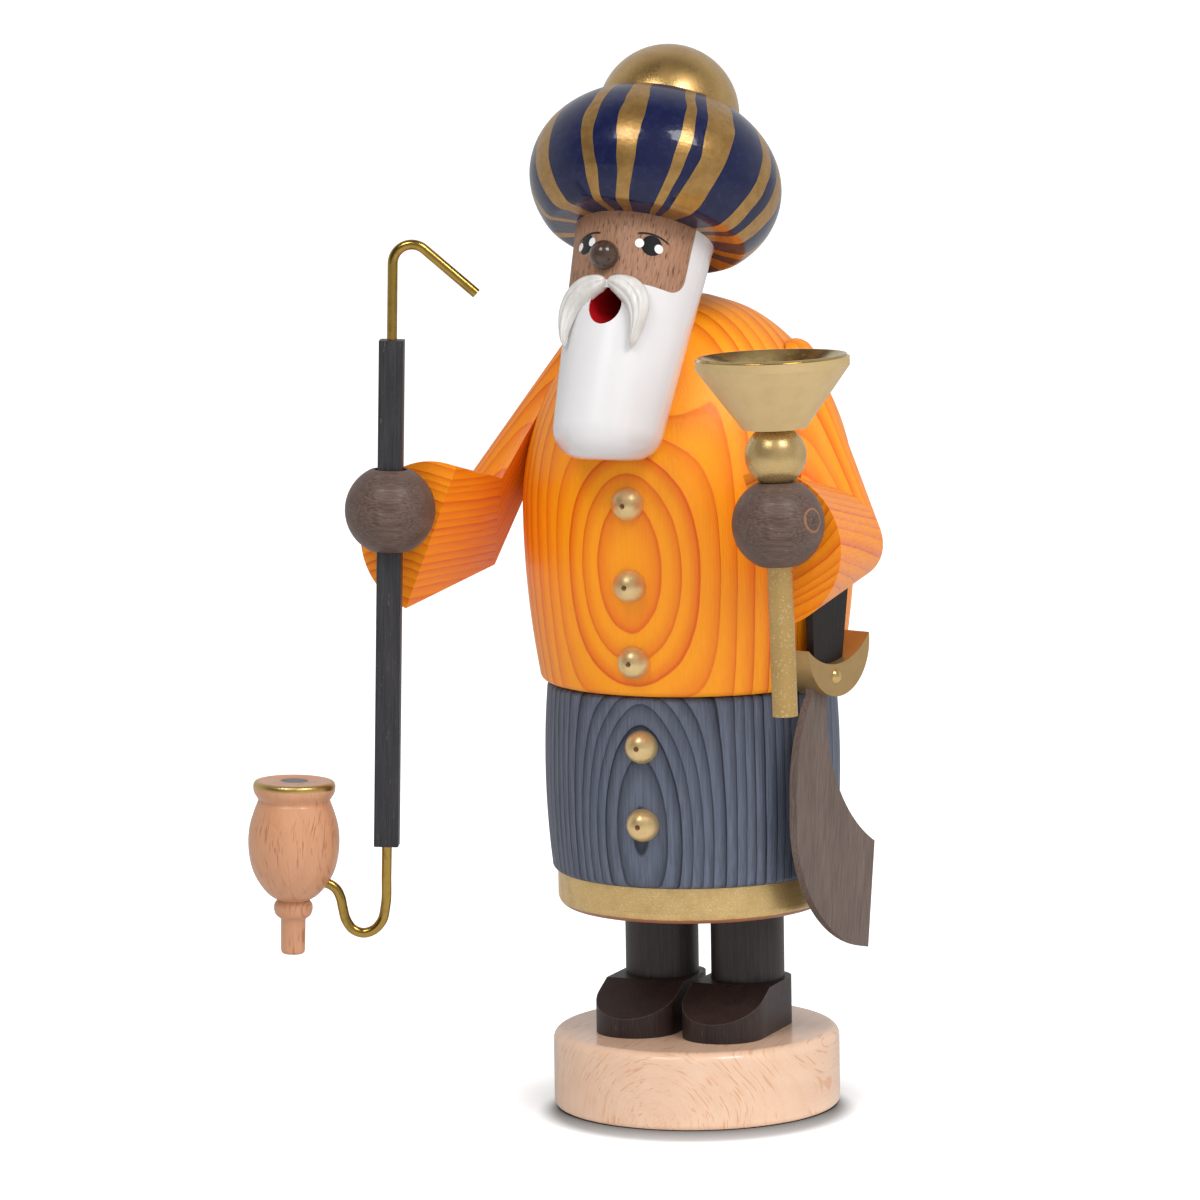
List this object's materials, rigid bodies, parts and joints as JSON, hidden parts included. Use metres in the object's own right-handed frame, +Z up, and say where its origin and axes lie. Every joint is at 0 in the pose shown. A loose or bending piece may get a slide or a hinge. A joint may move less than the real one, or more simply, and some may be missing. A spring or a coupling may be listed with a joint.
{
  "type": "incense smoker",
  "caption": "Turned wooden incense smoker with a turban, beard, long pipe, candle torch and sabre; its coat lifts off to reach the incense plate.",
  "frame": {"origin": "centre of the plinth's underside, on the table", "axes": "+Z up along the plinth, skirt and coat axis; the figure faces -Y; +X is its left hand side"},
  "size_m": [0.1186, 0.1011, 0.2071],
  "materials": {
    "beech": "clear lacquer on pale beech",
    "boot_stain": "black-brown stain, satin lacquer",
    "leg_stain": "black-grey stain, satin lacquer",
    "gold_paint": "gold paint, satin",
    "skirt_stain": "slate blue stain with brushed grain",
    "tin": "thin tinplate, brushed",
    "coat_stain": "orange stain with brushed grain, satin lacquer",
    "face_and_beard": "gloss white beard, brown bare-wood face",
    "turban_lacquer": "navy gloss lacquer with gold stripes",
    "nose_lacquer": "dark brown gloss lacquer",
    "moustache_white": "carved, satin white",
    "hand_stain": "brown stain, satin",
    "dowel_beech": "bare beech",
    "brass_dish": "spun brass, polished",
    "blade_stain": "brown-grey stain, matt",
    "grip_stain": "black stain, matt",
    "brass": "drawn brass, bright",
    "stem_stain": "dark slate stain, matt",
    "bowl_beech": "bare beech, gold edge on the rim",
    "plug_stain": "grey stain, matt"
  },
  "bodies": {
    "stand": {"base_plinth": "beech", "boot_right": "boot_stain", "boot_left": "boot_stain", "leg_right": "leg_stain", "leg_left": "leg_stain", "hem_disc": "gold_paint", "skirt": "skirt_stain", "ember_plate": "tin", "plate_tack": "tin", "skirt_button_1": "gold_paint", "skirt_button_2": "gold_paint"},
    "figure": {"coat": "coat_stain", "coat_button_1": "gold_paint", "coat_button_2": "gold_paint", "coat_button_3": "gold_paint", "head": "face_and_beard", "turban": "turban_lacquer", "turban_knob": "gold_paint", "nose": "nose_lacquer", "moustache_right": "moustache_white", "moustache_left": "moustache_white", "upper_arm_right": "coat_stain", "upper_arm_left": "coat_stain", "forearm_right": "coat_stain", "forearm_left": "coat_stain", "hand_right": "hand_stain", "hand_left": "hand_stain", "shoulder_dowel_right": "dowel_beech", "shoulder_dowel_left": "dowel_beech", "hand_dowel_right": "dowel_beech", "hand_dowel_left": "dowel_beech", "torch_rod": "gold_paint", "torch_ball": "gold_paint", "torch_cup": "gold_paint", "candle_insert": "brass_dish", "sabre_blade": "blade_stain", "sabre_grip": "grip_stain", "sabre_guard": "gold_paint", "guard_nail": "brass"},
    "pipe": {"pipe_stem": "stem_stain", "mouthpiece_wire": "brass", "bowl_wire": "brass", "pipe_bowl": "bowl_beech", "bowl_plug": "plug_stain"}
  },
  "joints": [
    {"name": "coat_lift", "type": "slide", "parent": "stand", "child": "figure", "axis": [0, 0, 1], "range_m": [0, 0.06]},
    {"name": "pipe_turn", "type": "hinge", "parent": "figure", "child": "pipe", "pos_m": [-0.03923, -0.05388, 0.1218], "axis": [0.0289, 0.0098, 0.9995], "continuous": true}
  ]
}
